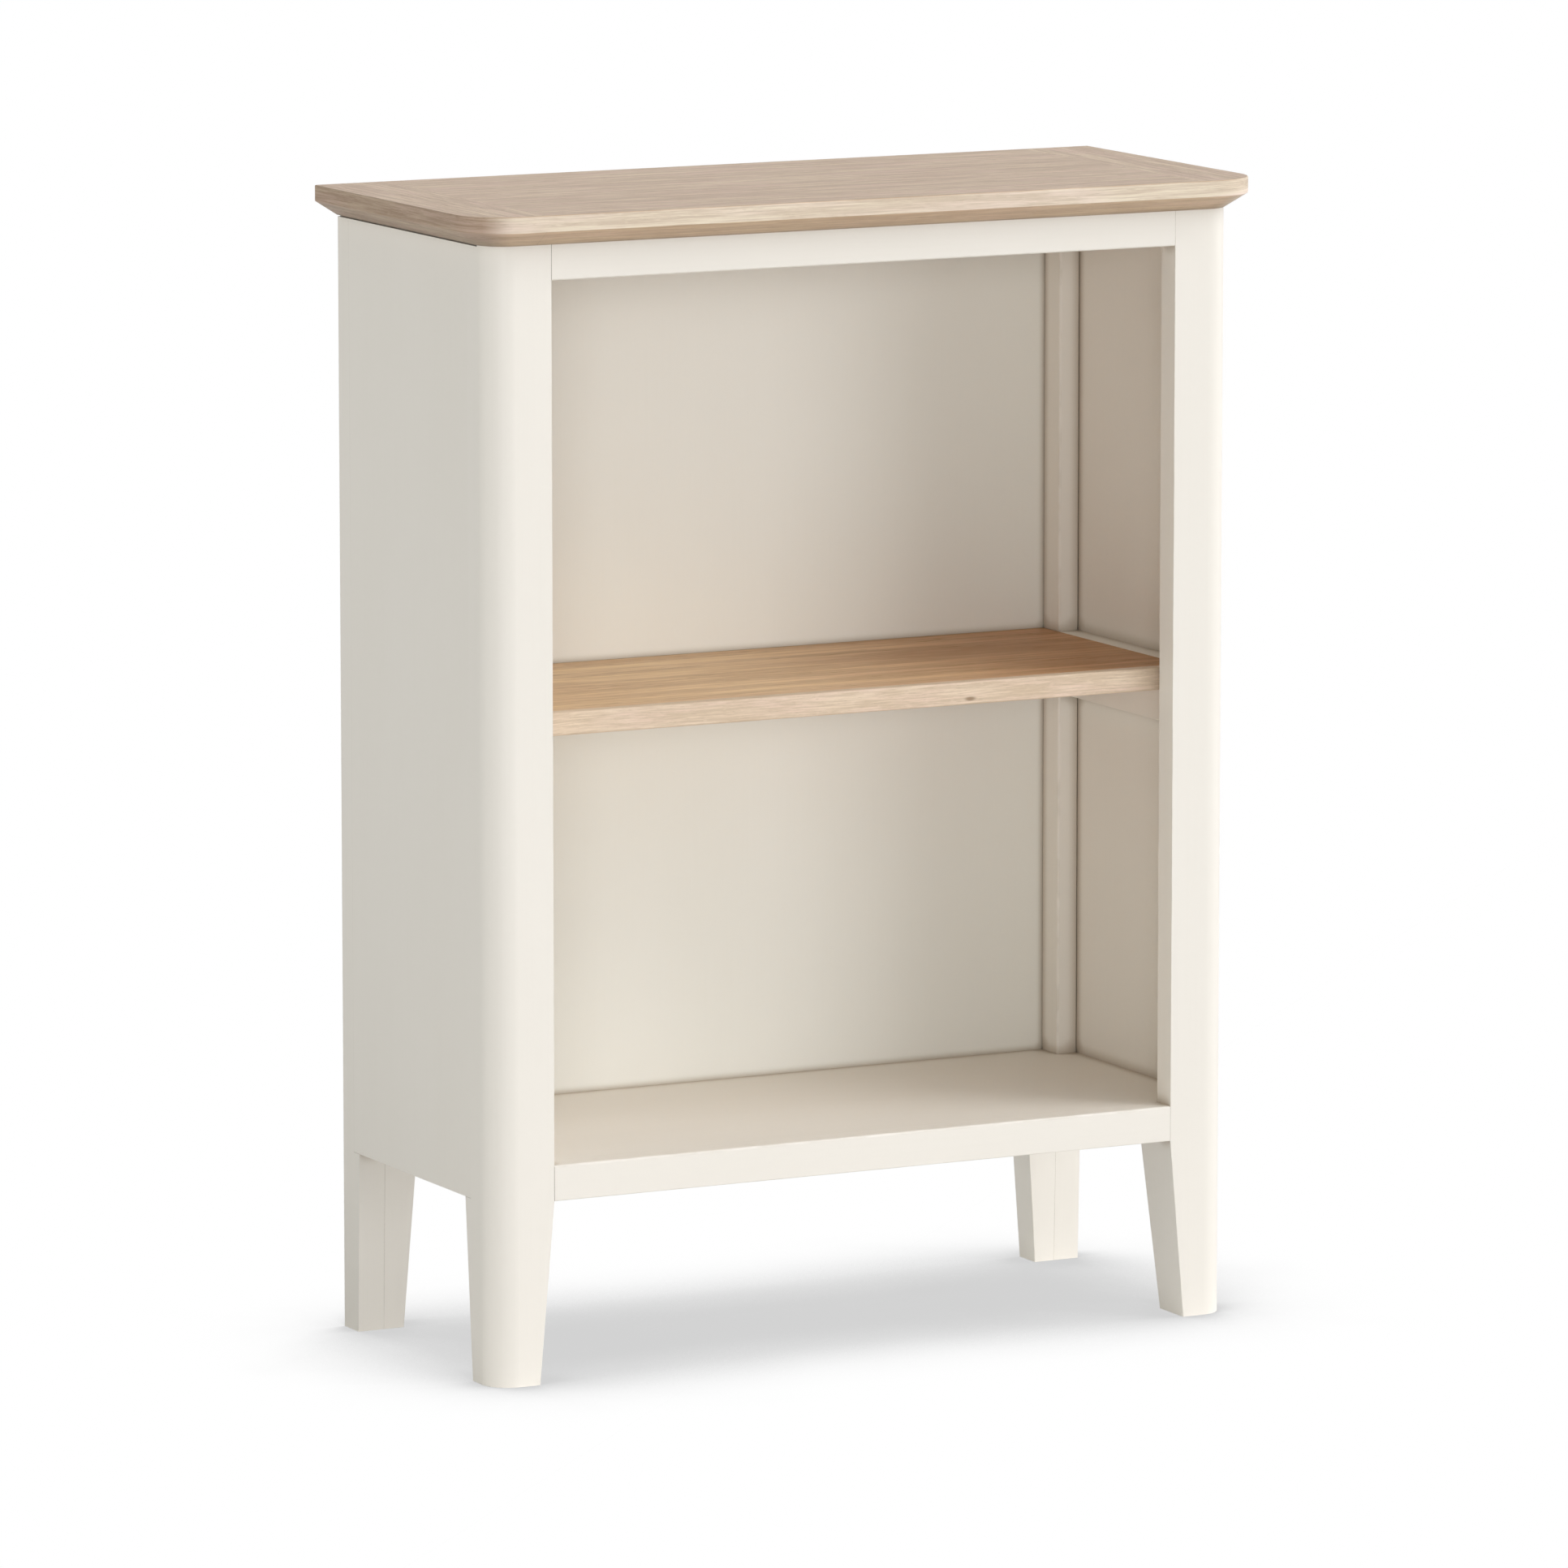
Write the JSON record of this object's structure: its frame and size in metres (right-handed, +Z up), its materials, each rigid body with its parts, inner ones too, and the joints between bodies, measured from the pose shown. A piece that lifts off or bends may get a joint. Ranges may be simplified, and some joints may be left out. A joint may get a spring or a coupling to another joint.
{
  "type": "low bookcase",
  "caption": "Low painted bookcase with an oak top, a fixed oak shelf between open book bays, rounded front corners and tapered legs.",
  "frame": {"origin": "on the floor, under the centre of the top's outline", "axes": "+Z up, +X to the right seen from the front, the open front faces -Y"},
  "size_m": [0.68, 0.29, 0.9],
  "materials": {
    "oak": "matt clear-lacquered pale oak",
    "oak_shelf": "matt clear-lacquered oak veneer, warmer in tone",
    "oak_lipping": "matt clear-lacquered pale oak, straight grain",
    "painted_wood": "satin off-white paint",
    "dowel_wood": "plain turned beech",
    "screw_steel": "zinc plated"
  },
  "bodies": {
    "root": {"top_panel": "oak", "top_end_left": "oak", "top_end_right": "oak", "shelf_board": "oak_shelf", "shelf_lipping": "oak_lipping", "front_stile_left": "painted_wood", "front_stile_right": "painted_wood", "front_top_rail": "painted_wood", "front_bottom_rail": "painted_wood", "front_post_left": "painted_wood", "front_post_right": "painted_wood", "front_leg_block_left": "painted_wood", "front_leg_block_right": "painted_wood", "rear_post_left": "painted_wood", "rear_post_right": "painted_wood", "rear_leg_block_left": "painted_wood", "rear_leg_block_right": "painted_wood", "side_panel_left": "painted_wood", "side_panel_right": "painted_wood", "side_top_rail_left": "painted_wood", "side_top_rail_right": "painted_wood", "side_bottom_rail_left": "painted_wood", "side_bottom_rail_right": "painted_wood", "shelf_bearer_left": "painted_wood", "shelf_bearer_right": "painted_wood", "base_panel": "painted_wood", "back_panel": "painted_wood", "rear_top_rail": "painted_wood", "rear_bottom_rail": "painted_wood", "frame_dowels": "dowel_wood", "stile_dowels": "dowel_wood", "leg_dowels": "dowel_wood", "shelf_dowels": "dowel_wood", "base_dowels": "dowel_wood", "top_screws": "screw_steel", "base_screws": "screw_steel", "back_screws": "screw_steel"}
  },
  "joints": []
}
